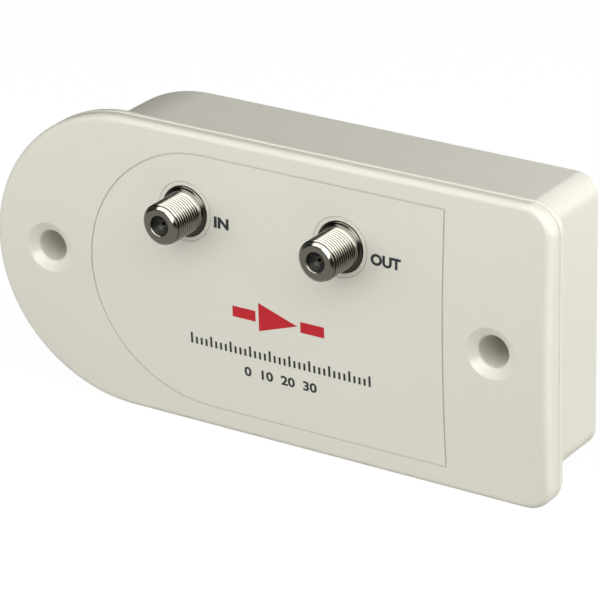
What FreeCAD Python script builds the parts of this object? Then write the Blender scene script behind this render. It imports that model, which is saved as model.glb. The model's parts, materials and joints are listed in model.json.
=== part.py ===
"""Wall-mounted video signal amplifier with two threaded coaxial ports, as separate pieces.

Frame: millimetres, +X to the right, +Z up, front face towards -Y.
Origin: midway between the two wall-screw holes, on the wall plane y = 0.
"""
import FreeCAD, Part
import math
import os
from collections import namedtuple

# How far a cutting shape runs past what it cuts
CUT_SPARE = 1.0

# Overall housing
FLANGE_LENGTH = 143.1
FLANGE_HEIGHT = 69.4
FLANGE_CORNER = 6.7
OUTLINE_OFFSET_X = -0.48
OUTLINE_OFFSET_Z = -0.42
BOX_DEPTH = 26.0
BOX_CORNER = 5.0
BOX_MARGIN_SIDE = 2.8
BOX_MARGIN_RIGHT = 5.3
BOX_MARGIN_LEFT = 6.8
WALL = 2.0
BACK_WALL = 2.0
REAR_FLANGE_THICKNESS = 1.95
FLANGE_EDGE_ROUND = 0.5
REVEAL_GAP = 0.3
REVEAL_DEPTH = 1.0
BACK_EDGE_ROUND = 0.5

# Front cover
COVER_RISE = 4.55
CROWN = 1.67
COVER_ROLL = 1.67
COVER_RIM_ROUND = 0.3
COVER_CAVITY_DEPTH = 1.4
LIP_CLEARANCE = 0.15
LIP_THICKNESS = 1.3
LIP_DEPTH = 2.5
LIP_RELIEF = 0.4

# Inlaid face panel
PANEL_MARGIN_SIDE = 4.8
PANEL_MARGIN_HOLE = 11.5
PANEL_THICKNESS = 0.3
PANEL_GAP = 0.4
PANEL_BED = 0.05
PORT_RING_RADIUS = 6.75
PORT_RING_GAP = 0.12

# Wall-screw holes, each with a deep tube behind the cover
HOLE_END_INSET = 14.4
TUBE_BORE_RADIUS = 3.64
TUBE_WALL = 1.4
TUBE_FLOOR = 3.0
WALL_SCREW_RADIUS = 2.1
DISH_RADIUS = 6.5
DISH_LIP_ROUND = 1.5
DISH_MOUTH_ROUND = 0.65
DISH_SLOPE = 30.0
DISH_RIM_LIFT = 0.06

# Coaxial ports
PORT_SPACING = 40.0
PORT_HEIGHT = 16.2
PORT_PROJECTION = 9.7
THREAD_RADIUS = 4.76
THREAD_PITCH = 25.4 / 32
THREAD_DEPTH = 0.43
THREAD_CREST = 0.18
THREAD_ROOT = 0.12
THREAD_TURNS = 9
PORT_TIP_LAND = 1.35
PORT_NOSE_RADIUS = 3.52
PORT_NOSE_LENGTH = 1.15
COLLAR_RADIUS = 5.75
COLLAR_STAND = 0.12
COLLAR_EDGE = 0.15
COLLAR_HOLE_GAP = 0.15
PORT_MOUTH_RADIUS = 2.32
PORT_MOUTH_CHAMFER = 0.2
PORT_LIP = 1.2
DIELECTRIC_RADIUS = 3.3
DIELECTRIC_FUNNEL = 1.4
DIELECTRIC_BACK = 1.0
CONTACT_RADIUS = 0.85
CONTACT_SETBACK = 0.5
CONTACT_SOCKET_RADIUS = 0.45
CONTACT_SOCKET_DEPTH = 6.0
PORT_LEG_SIZE = 1.0
PORT_LEG_OFFSET = 3.5

# Circuit board, screwed to posts on the cover
BOARD_THICKNESS = 1.6
BOARD_STANDOFF = 5.4
BOARD_CASE_GAP = 1.25
BOARD_WALL_GAP = 2.6
BOARD_CORNER = 2.0
BOARD_POST_INSET = 3.5
BOARD_POST_RADIUS = 3.0
SOLDER_STUB = 1.0
LEAD_HOLE_GAP = 0.1

# Screws
BOARD_SCREW_RADIUS = 1.1
BOARD_SCREW_HEAD_RADIUS = 2.3
BOARD_SCREW_HEAD = 1.6
BOARD_SCREW_GRIP = 4.6
CASE_SCREW_RADIUS = 1.4
CASE_SCREW_HEAD_RADIUS = 2.7
CASE_SCREW_HEAD = 2.0
CASE_SCREW_GRIP = 5.2
SCREW_PILOT_GAP = 0.03
SCREW_PILOT_SPARE = 0.4
SCREW_HEAD_RIM = 0.45
SCREW_HEAD_TOP = 0.72
SCREW_HEAD_SHOULDER = 0.92
CROSS_LENGTH = 0.6
SCREW_HOLE_GAP = 0.25
SCREW_HEAD_GAP = 0.5
CROSS_WIDTH = 0.7
CROSS_DEPTH = 0.9
CASE_POST_WALL = 1.2
CASE_POST_SEAT = 8.0
CASE_POST_TOP = 3.0
CASE_POST_INSET = 9.6
CASE_POST_LEFT_ANGLE = 50.0

# Rating recess on the back
RECESS_LENGTH = 58.0
RECESS_HEIGHT = 28.0
RECESS_DEPTH = 0.4
RECESS_CORNER = 2.0

# Shield can over the radio-frequency section
CAN_LENGTH = 56.0
CAN_BOTTOM = 2.8
CAN_TOP_INSET = 0.85
CAN_DEPTH = 10.0
CAN_SHEET = 0.5
CAN_LID_SKIRT = 3.0
CAN_LID_GAP = 0.05
CAN_PARTITION_GAP = 1.5

# Power inlet in the bottom wall
INLET_X = 28.0
INLET_BODY_WIDTH = 9.0
INLET_BODY_HEIGHT = 11.0
INLET_AXIS_HEIGHT = 6.5
INLET_BODY_LENGTH = 13.0
INLET_WALL_GAP = 0.25
INLET_NOSE_RADIUS = 4.3
INLET_HOLE_GAP = 0.25
INLET_NOSE_SETBACK = 0.3
INLET_BORE_RADIUS = 3.15
INLET_BORE_DEPTH = 10.0
INLET_PIN_RADIUS = 1.05
INLET_PIN_SETBACK = 0.8
INLET_SPRING_WIDTH = 2.4
INLET_SPRING_THICKNESS = 0.3
INLET_SPRING_LENGTH = 8.0

# Parts on the board: (x, z) places and sizes
CHIP_SIZE = (6.2, 5.0, 1.7)
CHIP_LEADS = 4
CHIP_LEAD_PITCH = 1.27
CHIP_LEAD_WIDTH = 0.4
CHIP_LEAD_THICKNESS = 0.25
CHIP_LEAD_REACH = 1.0
CHIP_PLACE = (0.0, 14.0)
FERRITE_SIZE = (7.0, 6.0, 4.2)
FERRITE_BORE_RADIUS = 1.0
FERRITE_BORE_SPACING = 3.2
FERRITE_X = 11.0
FERRITE_Z = 16.2
CHOKE_PLACE = (0.0, 7.4)
CHOKE_RADIUS = 2.6
CHOKE_WAIST = 1.9
CHOKE_HEIGHT = 5.5
CHOKE_FLANGE = 1.0
CERAMIC_SIZE = (3.2, 1.6, 1.25)
CERAMIC_PORT_PLACES = ((-25.3, 9.5), (-17.0, 7.5), (17.0, 7.5), (25.3, 9.5))
CERAMIC_CHIP_X = 5.6
CERAMIC_TOP_INSET = 4.0
RESISTOR_SIZE = (2.0, 1.25, 0.6)
RESISTOR_PLACES = ((-6.0, 10.2), (6.0, 10.2), (-11.0, 10.8), (11.0, 10.8), (-33.0, -6.0), (33.0, 4.0))
ELECTROLYTIC_RADIUS = 4.0
ELECTROLYTIC_HEIGHT = 11.5
ELECTROLYTIC_GROOVE = 0.35
ELECTROLYTIC_GROOVE_HEIGHT = 1.6
ELECTROLYTIC_GROOVE_WIDTH = 0.8
ELECTROLYTIC_EDGE = 0.4
ELECTROLYTIC_EDGE_INSET = 14.0
ELECTROLYTIC_PITCH = 11.0
ELECTROLYTIC_Z = -12.0
REGULATOR_SIZE = (10.0, 4.5, 9.0)
REGULATOR_PLACE = (4.0, -12.0)
REGULATOR_TAB = 1.3
REGULATOR_TAB_RISE = 6.0
REGULATOR_TAB_HOLE = 1.8
SINK_BASE = 1.5
SINK_FIN = 1.0
SINK_FINS = 5
SINK_FIN_DEPTH = 5.0
SINK_LENGTH = 18.0
DIODE_PLACE = (13.0, -22.0)
DIODE_RADIUS = 1.35
DIODE_LENGTH = 5.2
DIODE_LEAD_RADIUS = 0.4
DIODE_LEAD_SPAN = 10.0
POWER_CHOKE_EDGE_INSET = 9.5
POWER_CHOKE_Z = -11.0
POWER_CHOKE_RADIUS = 4.5
POWER_CHOKE_WAIST = 3.4
POWER_CHOKE_HEIGHT = 8.0
POWER_CHOKE_FLANGE = 1.4

# Derived planes and places
Outline = namedtuple("Outline", "arc_x mid_z half right corner")
FLANGE = Outline(OUTLINE_OFFSET_X - FLANGE_LENGTH / 2 + FLANGE_HEIGHT / 2, OUTLINE_OFFSET_Z,
                 FLANGE_HEIGHT / 2, OUTLINE_OFFSET_X + FLANGE_LENGTH / 2, FLANGE_CORNER)
BOX_HALF = FLANGE.half - BOX_MARGIN_SIDE
BOX = Outline(OUTLINE_OFFSET_X - FLANGE_LENGTH / 2 + BOX_MARGIN_LEFT + BOX_HALF, OUTLINE_OFFSET_Z,
              BOX_HALF, FLANGE.right - BOX_MARGIN_RIGHT, BOX_CORNER)
HOLE_X = FLANGE_LENGTH / 2 - HOLE_END_INSET
PANEL_HALF = FLANGE.half - PANEL_MARGIN_SIDE
PANEL_RIGHT = HOLE_X - PANEL_MARGIN_HOLE
PANEL = Outline(-PANEL_RIGHT + PANEL_HALF, 0.0, PANEL_HALF, PANEL_RIGHT, 0.0)
PART_PLANE = -BOX_DEPTH
FACE_TOP = PART_PLANE - COVER_RISE
CROWN_RADIUS = (FLANGE.half ** 2 + CROWN ** 2) / (2 * CROWN)
COVER_FLOOR = PART_PLANE - COVER_CAVITY_DEPTH
LIP_END = PART_PLANE + LIP_DEPTH
LIP_OUTER = WALL + LIP_CLEARANCE
LIP_INNER = LIP_OUTER + LIP_THICKNESS
TUBE_RADIUS = TUBE_BORE_RADIUS + TUBE_WALL
PORT_X = PORT_SPACING / 2
BOARD_FRONT = COVER_FLOOR + BOARD_STANDOFF
BOARD_BACK = BOARD_FRONT + BOARD_THICKNESS
LEAD_END = BOARD_BACK + SOLDER_STUB
COLLAR_HOLE_RADIUS = COLLAR_RADIUS + COLLAR_HOLE_GAP
CASE_HEAD_BORE = CASE_SCREW_HEAD_RADIUS + SCREW_HEAD_GAP
CASE_POST_RADIUS = CASE_HEAD_BORE + CASE_POST_WALL
CASE_POST_END = PART_PLANE + CASE_POST_TOP
CASE_SEAT = CASE_POST_END + CASE_POST_SEAT
CASE_REACH = BOX.half - CASE_POST_INSET
CASE_RIGHT_X = BOX.right - CASE_POST_INSET
CASE_LEFT_X = BOX.arc_x - CASE_REACH * math.cos(math.radians(CASE_POST_LEFT_ANGLE))
CASE_LEFT_RISE = CASE_REACH * math.sin(math.radians(CASE_POST_LEFT_ANGLE))
BOARD_LEFT = CASE_LEFT_X + CASE_POST_RADIUS + BOARD_CASE_GAP
BOARD_RIGHT = CASE_RIGHT_X - CASE_POST_RADIUS - BOARD_CASE_GAP
BOARD_TOP = BOX.mid_z + BOX.half - LIP_INNER - BOARD_WALL_GAP
BOARD_BOTTOM = BOX.mid_z - BOX.half + LIP_INNER + BOARD_WALL_GAP
BOARD_POST_PLACES = [(x, z) for x in (BOARD_LEFT + BOARD_POST_INSET, BOARD_RIGHT - BOARD_POST_INSET)
                     for z in (BOARD_BOTTOM + BOARD_POST_INSET, BOARD_TOP - BOARD_POST_INSET)]
CAN_TOP = BOARD_TOP - CAN_TOP_INSET
CERAMIC_CHIP_Z = CAN_TOP - CERAMIC_TOP_INSET
CERAMIC_PLACES = CERAMIC_PORT_PLACES + ((-CERAMIC_CHIP_X, CERAMIC_CHIP_Z), (CERAMIC_CHIP_X, CERAMIC_CHIP_Z))
ELECTROLYTIC_PLACES = [(BOARD_LEFT + ELECTROLYTIC_EDGE_INSET + i * ELECTROLYTIC_PITCH, ELECTROLYTIC_Z)
                       for i in range(2)]
POWER_CHOKE_PLACE = (BOARD_RIGHT - POWER_CHOKE_EDGE_INSET, POWER_CHOKE_Z)
INLET_AXIS_Y = BOARD_BACK + INLET_AXIS_HEIGHT
WALL_BOTTOM = BOX.mid_z - BOX.half
X_AXIS = FreeCAD.Vector(1, 0, 0)
Y_AXIS = FreeCAD.Vector(0, 1, 0)
Z_AXIS = FreeCAD.Vector(0, 0, 1)


def face_y(z):
    """Depth of the crowned front face at height z."""
    rise = z - FLANGE.mid_z
    return FACE_TOP + CROWN_RADIUS - math.sqrt(CROWN_RADIUS ** 2 - rise ** 2)


def box(x0, x1, y0, y1, z0, z1):
    return Part.makeBox(x1 - x0, y1 - y0, z1 - z0, FreeCAD.Vector(x0, y0, z0))


def rod_y(x, z, radius, y0, y1):
    """Round rod along Y from depth y0 to y1."""
    return Part.makeCylinder(radius, y1 - y0, FreeCAD.Vector(x, y0, z), Y_AXIS)


def rod_x(y, z, radius, x0, x1):
    return Part.makeCylinder(radius, x1 - x0, FreeCAD.Vector(x0, y, z), X_AXIS)


def rod_z(x, y, radius, z0, z1):
    return Part.makeCylinder(radius, z1 - z0, FreeCAD.Vector(x, y, z0), Z_AXIS)


def arc(centre, radius, start, end):
    """Arc of a (radius, y) profile as its mid point and its end point, angles in degrees."""
    middle = math.radians((start + end) / 2)
    stop = math.radians(end)
    return (centre[0] + radius * math.cos(middle), centre[1] + radius * math.sin(middle),
            centre[0] + radius * math.cos(stop), centre[1] + radius * math.sin(stop))


def turned(profile, x, z):
    """Solid of revolution about the line along Y at (x, z); profile holds (radius, y) corners and arcs."""
    here = FreeCAD.Vector(x + profile[0][0], profile[0][1], z)
    edges = []
    for item in profile[1:] + profile[:1]:
        there = FreeCAD.Vector(x + item[-2], item[-1], z)
        if len(item) == 4:
            edges.append(Part.Arc(here, FreeCAD.Vector(x + item[0], item[1], z), there).toShape())
        elif here.distanceToPoint(there) > 1e-6:
            edges.append(Part.makeLine(here, there))
        here = there
    return Part.Face(Part.Wire(edges)).revolve(FreeCAD.Vector(x, 0, z), Y_AXIS, 360)


def outline_face(outline, inset, y):
    """D-shaped face in the plane y: half-round on the left, square or rounded corners on the right."""
    half = outline.half - inset
    right = outline.right - inset
    corner = max(outline.corner - inset, 0.0)
    top, bottom, arc_x = outline.mid_z + half, outline.mid_z - half, outline.arc_x
    edges = [Part.Arc(FreeCAD.Vector(arc_x, y, top), FreeCAD.Vector(arc_x - half, y, outline.mid_z),
                      FreeCAD.Vector(arc_x, y, bottom)).toShape()]
    edges.append(Part.makeLine((arc_x, y, bottom), (right - corner, y, bottom)))
    if corner > 0:
        slack = corner * (1 - math.sqrt(0.5))
        edges.append(Part.Arc(FreeCAD.Vector(right - corner, y, bottom),
                              FreeCAD.Vector(right - slack, y, bottom + slack),
                              FreeCAD.Vector(right, y, bottom + corner)).toShape())
    edges.append(Part.makeLine((right, y, bottom + corner), (right, y, top - corner)))
    if corner > 0:
        edges.append(Part.Arc(FreeCAD.Vector(right, y, top - corner),
                              FreeCAD.Vector(right - slack, y, top - slack),
                              FreeCAD.Vector(right - corner, y, top)).toShape())
    edges.append(Part.makeLine((right - corner, y, top), (arc_x, y, top)))
    return Part.Face(Part.Wire(edges))


def prism(outline, inset, y0, y1):
    return outline_face(outline, inset, y0).extrude(FreeCAD.Vector(0, y1 - y0, 0))


def crown_cylinder(setback):
    """Large cylinder along X whose front side is the crowned face, set back by a depth."""
    radius = CROWN_RADIUS - setback
    half = FLANGE_LENGTH
    return rod_x(FACE_TOP + CROWN_RADIUS, FLANGE.mid_z, radius, -half, half)


def rounded_slab(x0, x1, y0, y1, z0, z1, corner):
    """Plate across Y with its four corners rounded."""
    slab = box(x0, x1, y0, y1, z0, z1)
    edges = [e for e in slab.Edges if abs(e.tangentAt(e.FirstParameter).y) > 0.9]
    return slab.makeFillet(corner, edges)


def places(half_x, half_z):
    return [(sx * half_x, sz * half_z) for sx in (-1, 1) for sz in (-1, 1)]


def case_screw_places():
    """Two posts in the right corners, two on the left half-round, clear of the wall tubes."""
    return [(CASE_RIGHT_X, BOX.mid_z + CASE_REACH), (CASE_RIGHT_X, BOX.mid_z - CASE_REACH),
            (CASE_LEFT_X, BOX.mid_z + CASE_LEFT_RISE), (CASE_LEFT_X, BOX.mid_z - CASE_LEFT_RISE)]


def screw(x, z, radius, head_radius, head, seat, tip):
    """Pan-head screw driven towards -Y: head behind the seat plane, shank down to the tip plane."""
    shank = rod_y(x, z, radius, tip, seat)
    top = seat + head
    cap = turned([(0, seat), (head_radius, seat), (head_radius, seat + head * SCREW_HEAD_RIM),
                  (head_radius * SCREW_HEAD_TOP, seat + head * SCREW_HEAD_SHOULDER), (0, top)], x, z)
    body = shank.fuse(cap)
    long, short = head_radius * CROSS_LENGTH, CROSS_WIDTH / 2
    for half_x, half_z in ((long, short), (short, long)):
        body = body.cut(box(x - half_x, x + half_x, top - CROSS_DEPTH, top + CUT_SPARE,
                            z - half_z, z + half_z))
    return body


def dish_cutter(x):
    """Sink with a rolled rim and the through hole of one wall-screw hole, cut from the front."""
    slope = math.radians(DISH_SLOPE)
    rim = face_y(0) - DISH_RIM_LIFT
    front = rim - CROWN
    lip_run = DISH_LIP_ROUND * math.sin(slope)
    lip_fall = DISH_LIP_ROUND * (1 - math.cos(slope))
    mouth_run = DISH_MOUTH_ROUND * (1 - math.sin(slope))
    cone_run = DISH_RADIUS - lip_run - TUBE_BORE_RADIUS - mouth_run
    cone_end = rim + lip_fall + cone_run * math.tan(slope)
    mouth = (TUBE_BORE_RADIUS + DISH_MOUTH_ROUND, cone_end + DISH_MOUTH_ROUND * math.cos(slope))
    profile = [(0, front), (DISH_RADIUS, front), (DISH_RADIUS, rim),
               arc((DISH_RADIUS, rim + DISH_LIP_ROUND), DISH_LIP_ROUND, -90, -90 - DISH_SLOPE),
               (TUBE_BORE_RADIUS + mouth_run, cone_end),
               arc(mouth, DISH_MOUTH_ROUND, 270 - DISH_SLOPE, 180),
               (TUBE_BORE_RADIUS, PART_PLANE), (0, PART_PLANE)]
    return turned(profile, x, 0)


def make_front_cover():
    """Crowned cover with rolled rim, panel recess, dished holes, board posts and a locating lip."""
    body = prism(FLANGE, 0, FACE_TOP - CUT_SPARE, PART_PLANE).common(crown_cylinder(0))
    front = min(body.Faces, key=lambda face: face.CenterOfMass.y)
    body = body.makeFillet(COVER_ROLL, front.Edges)
    back = max(body.Faces, key=lambda face: face.CenterOfMass.y)
    body = body.makeFillet(COVER_RIM_ROUND, back.Edges)
    body = body.cut(prism(BOX, LIP_INNER, COVER_FLOOR, PART_PLANE))
    lip = prism(BOX, LIP_OUTER, COVER_FLOOR, LIP_END).cut(prism(BOX, LIP_INNER, COVER_FLOOR, LIP_END))
    for x in (-HOLE_X, HOLE_X):
        lip = lip.cut(rod_y(x, 0, TUBE_RADIUS + LIP_RELIEF, COVER_FLOOR, LIP_END))
        body = body.cut(rod_y(x, 0, TUBE_RADIUS + LIP_RELIEF, COVER_FLOOR, PART_PLANE))
    body = body.fuse(lip)
    recess = prism(PANEL, 0, FACE_TOP - CUT_SPARE, PART_PLANE)
    recess = recess.cut(crown_cylinder(PANEL_THICKNESS + PANEL_BED))
    for x in (-PORT_X, PORT_X):
        recess = recess.cut(rod_y(x, PORT_HEIGHT, PORT_RING_RADIUS, FACE_TOP - CUT_SPARE, PART_PLANE))
    body = body.cut(recess)
    for x in (-PORT_X, PORT_X):
        body = body.cut(rod_y(x, PORT_HEIGHT, COLLAR_HOLE_RADIUS, FACE_TOP - CUT_SPARE, PART_PLANE))
    for x in (-HOLE_X, HOLE_X):
        body = body.cut(dish_cutter(x))
    pilot = BOARD_SCREW_RADIUS + SCREW_PILOT_GAP
    pilot_end = BOARD_FRONT - BOARD_SCREW_GRIP - SCREW_PILOT_SPARE
    for x, z in BOARD_POST_PLACES:
        body = body.fuse(rod_y(x, z, BOARD_POST_RADIUS, COVER_FLOOR, BOARD_FRONT))
        body = body.cut(rod_y(x, z, pilot, pilot_end, BOARD_FRONT))
    pilot = CASE_SCREW_RADIUS + SCREW_PILOT_GAP
    pilot_end = CASE_POST_END - CASE_SCREW_GRIP - SCREW_PILOT_SPARE
    for x, z in case_screw_places():
        body = body.fuse(rod_y(x, z, CASE_POST_RADIUS, COVER_FLOOR, CASE_POST_END))
        body = body.cut(rod_y(x, z, pilot, pilot_end, CASE_POST_END))
    return body.removeSplitter()


def make_face_panel():
    """Printed face sheet that follows the crown and lies in the cover's recess."""
    front = FACE_TOP - CUT_SPARE
    sheet = prism(PANEL, PANEL_GAP, front, PART_PLANE).common(crown_cylinder(0))
    sheet = sheet.cut(crown_cylinder(PANEL_THICKNESS))
    for x in (-PORT_X, PORT_X):
        sheet = sheet.cut(rod_y(x, PORT_HEIGHT, PORT_RING_RADIUS + PORT_RING_GAP, front, PART_PLANE))
    return sheet


def make_rear_housing():
    """Deep tray with a flange, a fine gap round it, two tubes for wall screws and four case posts."""
    flange = prism(FLANGE, 0, PART_PLANE + REVEAL_GAP, PART_PLANE + REAR_FLANGE_THICKNESS)
    front, back = sorted(flange.Faces, key=lambda face: face.CenterOfMass.y)[::len(flange.Faces) - 1]
    flange = flange.makeFillet(FLANGE_EDGE_ROUND, front.Edges + back.Edges)
    flange = flange.fuse(prism(FLANGE, REVEAL_DEPTH, PART_PLANE, PART_PLANE + REVEAL_GAP))
    shell = prism(BOX, 0, PART_PLANE, 0)
    back = max(shell.Faces, key=lambda face: face.CenterOfMass.y)
    shell = shell.makeFillet(BACK_EDGE_ROUND, back.Edges)
    body = flange.fuse(shell).cut(prism(BOX, WALL, PART_PLANE, -BACK_WALL))
    for x in (-HOLE_X, HOLE_X):
        body = body.fuse(rod_y(x, 0, TUBE_RADIUS, COVER_FLOOR, -BACK_WALL))
        body = body.cut(rod_y(x, 0, TUBE_BORE_RADIUS, COVER_FLOOR, -TUBE_FLOOR))
        body = body.cut(rod_y(x, 0, WALL_SCREW_RADIUS, -TUBE_FLOOR, 0))
    for x, z in case_screw_places():
        body = body.fuse(rod_y(x, z, CASE_POST_RADIUS, CASE_POST_END, -BACK_WALL))
        body = body.cut(rod_y(x, z, CASE_HEAD_BORE, CASE_SEAT, 0))
        body = body.cut(rod_y(x, z, CASE_SCREW_RADIUS + SCREW_HOLE_GAP, CASE_POST_END, CASE_SEAT))
    nose = INLET_NOSE_RADIUS + INLET_HOLE_GAP
    body = body.cut(rod_z(INLET_X, INLET_AXIS_Y, nose, WALL_BOTTOM - CUT_SPARE,
                          WALL_BOTTOM + WALL + CUT_SPARE))
    x, z = OUTLINE_OFFSET_X, OUTLINE_OFFSET_Z
    recess = rounded_slab(x - RECESS_LENGTH / 2, x + RECESS_LENGTH / 2, -RECESS_DEPTH, CUT_SPARE,
                          z - RECESS_HEIGHT / 2, z + RECESS_HEIGHT / 2, RECESS_CORNER)
    return body.cut(recess).removeSplitter()


def port_tip():
    return face_y(PORT_HEIGHT) - PORT_PROJECTION


def port_profile():
    """Outer corners (radius, y) of a port body, from its tip back to the board."""
    tip = port_tip()
    collar_front = face_y(PORT_HEIGHT) - COLLAR_STAND
    root = THREAD_RADIUS - THREAD_DEPTH
    corners = [(PORT_NOSE_RADIUS, tip), (THREAD_RADIUS, tip + PORT_NOSE_LENGTH)]
    flank = (THREAD_PITCH - THREAD_CREST - THREAD_ROOT) / 2
    y = tip + PORT_TIP_LAND
    for _ in range(THREAD_TURNS):
        corners += [(THREAD_RADIUS, y), (root, y + flank), (root, y + flank + THREAD_ROOT),
                    (THREAD_RADIUS, y + THREAD_PITCH - THREAD_CREST)]
        y += THREAD_PITCH
    flare = COLLAR_RADIUS - COLLAR_EDGE - THREAD_RADIUS
    corners += [(THREAD_RADIUS, collar_front - flare),
                arc((THREAD_RADIUS + flare, collar_front - flare), flare, 180, 90),
                (COLLAR_RADIUS, collar_front + COLLAR_EDGE), (COLLAR_RADIUS, BOARD_FRONT)]
    return corners


def make_port_body(x):
    """Threaded, flanged port shell with four solder legs through the board."""
    tip = port_tip()
    mouth = [(DIELECTRIC_RADIUS, BOARD_FRONT), (DIELECTRIC_RADIUS, tip + PORT_LIP),
             (PORT_MOUTH_RADIUS, tip + PORT_LIP), (PORT_MOUTH_RADIUS, tip + PORT_MOUTH_CHAMFER),
             (PORT_MOUTH_RADIUS + PORT_MOUTH_CHAMFER, tip)]
    body = turned(port_profile() + mouth, x, PORT_HEIGHT)
    half = PORT_LEG_SIZE / 2
    for dx, dz in places(PORT_LEG_OFFSET, PORT_LEG_OFFSET):
        cx, cz = x + dx, PORT_HEIGHT + dz
        body = body.fuse(box(cx - half, cx + half, BOARD_FRONT - PORT_LEG_SIZE, LEAD_END,
                             cz - half, cz + half))
    return body.removeSplitter()


def make_port_dielectric(x):
    """Plastic core of a port with a funnel that guides the cable's wire."""
    front = port_tip() + PORT_LIP
    back = BOARD_FRONT - DIELECTRIC_BACK
    outer = DIELECTRIC_RADIUS - LEAD_HOLE_GAP / 2
    return turned([(outer, front), (outer, back), (CONTACT_RADIUS, back),
                   (CONTACT_RADIUS, front + CONTACT_SETBACK), (DIELECTRIC_FUNNEL, front)], x, PORT_HEIGHT)


def make_port_contact(x):
    """Centre contact: a socket for the cable's wire, and a pin through the board."""
    front = port_tip() + PORT_LIP + CONTACT_SETBACK
    body = rod_y(x, PORT_HEIGHT, CONTACT_RADIUS, front, LEAD_END)
    return body.cut(rod_y(x, PORT_HEIGHT, CONTACT_SOCKET_RADIUS, front, front + CONTACT_SOCKET_DEPTH))


def make_circuit_board():
    """Board with clearance holes for the ports, the screws and the leaded parts."""
    board = rounded_slab(BOARD_LEFT, BOARD_RIGHT, BOARD_FRONT, BOARD_BACK,
                         BOARD_BOTTOM, BOARD_TOP, BOARD_CORNER)
    leg_hole = PORT_LEG_SIZE * math.sqrt(0.5) + LEAD_HOLE_GAP
    holes = [(x, z, BOARD_SCREW_RADIUS + SCREW_HOLE_GAP) for x, z in BOARD_POST_PLACES]
    for x in (-PORT_X, PORT_X):
        holes.append((x, PORT_HEIGHT, CONTACT_RADIUS + LEAD_HOLE_GAP))
        holes += [(x + dx, PORT_HEIGHT + dz, leg_hole)
                  for dx, dz in places(PORT_LEG_OFFSET, PORT_LEG_OFFSET)]
    for x, z in diode_lead_places():
        holes.append((x, z, DIODE_LEAD_RADIUS + LEAD_HOLE_GAP))
    for x, z, radius in holes:
        board = board.cut(rod_y(x, z, radius, BOARD_FRONT, BOARD_BACK))
    return board


def can_bounds(inset):
    half = CAN_LENGTH / 2 - inset
    return -half, half, CAN_BOTTOM + inset, CAN_TOP - inset


def make_shield_frame():
    """Folded sheet wall round the radio-frequency section, with a partition above the amplifier chip."""
    x0, x1, z0, z1 = can_bounds(0)
    i0, i1, j0, j1 = can_bounds(CAN_SHEET)
    end = BOARD_BACK + CAN_DEPTH
    frame = box(x0, x1, BOARD_BACK, end, z0, z1).cut(box(i0, i1, BOARD_BACK, end, j0, j1))
    x, start = CHIP_PLACE[0], BOARD_BACK + CHIP_SIZE[2] + CAN_PARTITION_GAP
    clear = CHOKE_PLACE[1] + CHOKE_RADIUS + CAN_PARTITION_GAP
    return frame.fuse(box(x - CAN_SHEET / 2, x + CAN_SHEET / 2, start, end, clear, j1)).removeSplitter()


def make_shield_lid():
    """Snap-on lid of the can: a plate on the frame's edge and a skirt round its outside."""
    grow = CAN_LID_GAP + CAN_SHEET
    x0, x1, z0, z1 = can_bounds(-grow)
    i0, i1, j0, j1 = can_bounds(-CAN_LID_GAP)
    end = BOARD_BACK + CAN_DEPTH
    lid = box(x0, x1, end - CAN_LID_SKIRT, end + CAN_SHEET, z0, z1)
    return lid.cut(box(i0, i1, end - CAN_LID_SKIRT, end, j0, j1))


def block(place, size):
    """Surface-mounted block on the board's back: size is (x, z, height)."""
    x, z = place
    half_x, half_z = size[0] / 2, size[1] / 2
    return box(x - half_x, x + half_x, BOARD_BACK, BOARD_BACK + size[2], z - half_z, z + half_z)


def drum(place, radius, waist, height, flange):
    """Drum-core choke standing on the board."""
    x, z = place
    y0, y1 = BOARD_BACK, BOARD_BACK + height
    return turned([(0, y0), (radius, y0), (radius, y0 + flange), (waist, y0 + flange), (waist, y1 - flange),
                   (radius, y1 - flange), (radius, y1), (0, y1)], x, z)


def make_amplifier_chip():
    """Amplifier chip with a row of short leads on each side."""
    body = block(CHIP_PLACE, CHIP_SIZE)
    x, z = CHIP_PLACE
    half = CHIP_LEAD_WIDTH / 2
    reach = CHIP_SIZE[1] / 2 + CHIP_LEAD_REACH
    for i in range(CHIP_LEADS):
        lead_x = x + (i - (CHIP_LEADS - 1) / 2) * CHIP_LEAD_PITCH
        body = body.fuse(box(lead_x - half, lead_x + half, BOARD_BACK, BOARD_BACK + CHIP_LEAD_THICKNESS,
                             z - reach, z + reach))
    return body.removeSplitter()


def make_ferrite(x):
    """Two-hole ferrite core of a matching transformer."""
    core = block((x, FERRITE_Z), FERRITE_SIZE)
    y = BOARD_BACK + FERRITE_SIZE[2] / 2
    z0, z1 = FERRITE_Z - FERRITE_SIZE[1] / 2, FERRITE_Z + FERRITE_SIZE[1] / 2
    for side in (-1, 1):
        core = core.cut(rod_z(x + side * FERRITE_BORE_SPACING / 2, y, FERRITE_BORE_RADIUS, z0, z1))
    return core


def make_electrolytic(place):
    """Smoothing capacitor: can with a rolled groove near its foot."""
    x, z = place
    y0, y1 = BOARD_BACK, BOARD_BACK + ELECTROLYTIC_HEIGHT
    radius, edge = ELECTROLYTIC_RADIUS, ELECTROLYTIC_EDGE
    groove = y0 + ELECTROLYTIC_GROOVE_HEIGHT
    half = ELECTROLYTIC_GROOVE_WIDTH / 2
    return turned([(0, y0), (radius, y0), (radius, groove - half), (radius - ELECTROLYTIC_GROOVE, groove),
                   (radius, groove + half), (radius, y1 - edge), (radius - edge, y1), (0, y1)], x, z)


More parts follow.
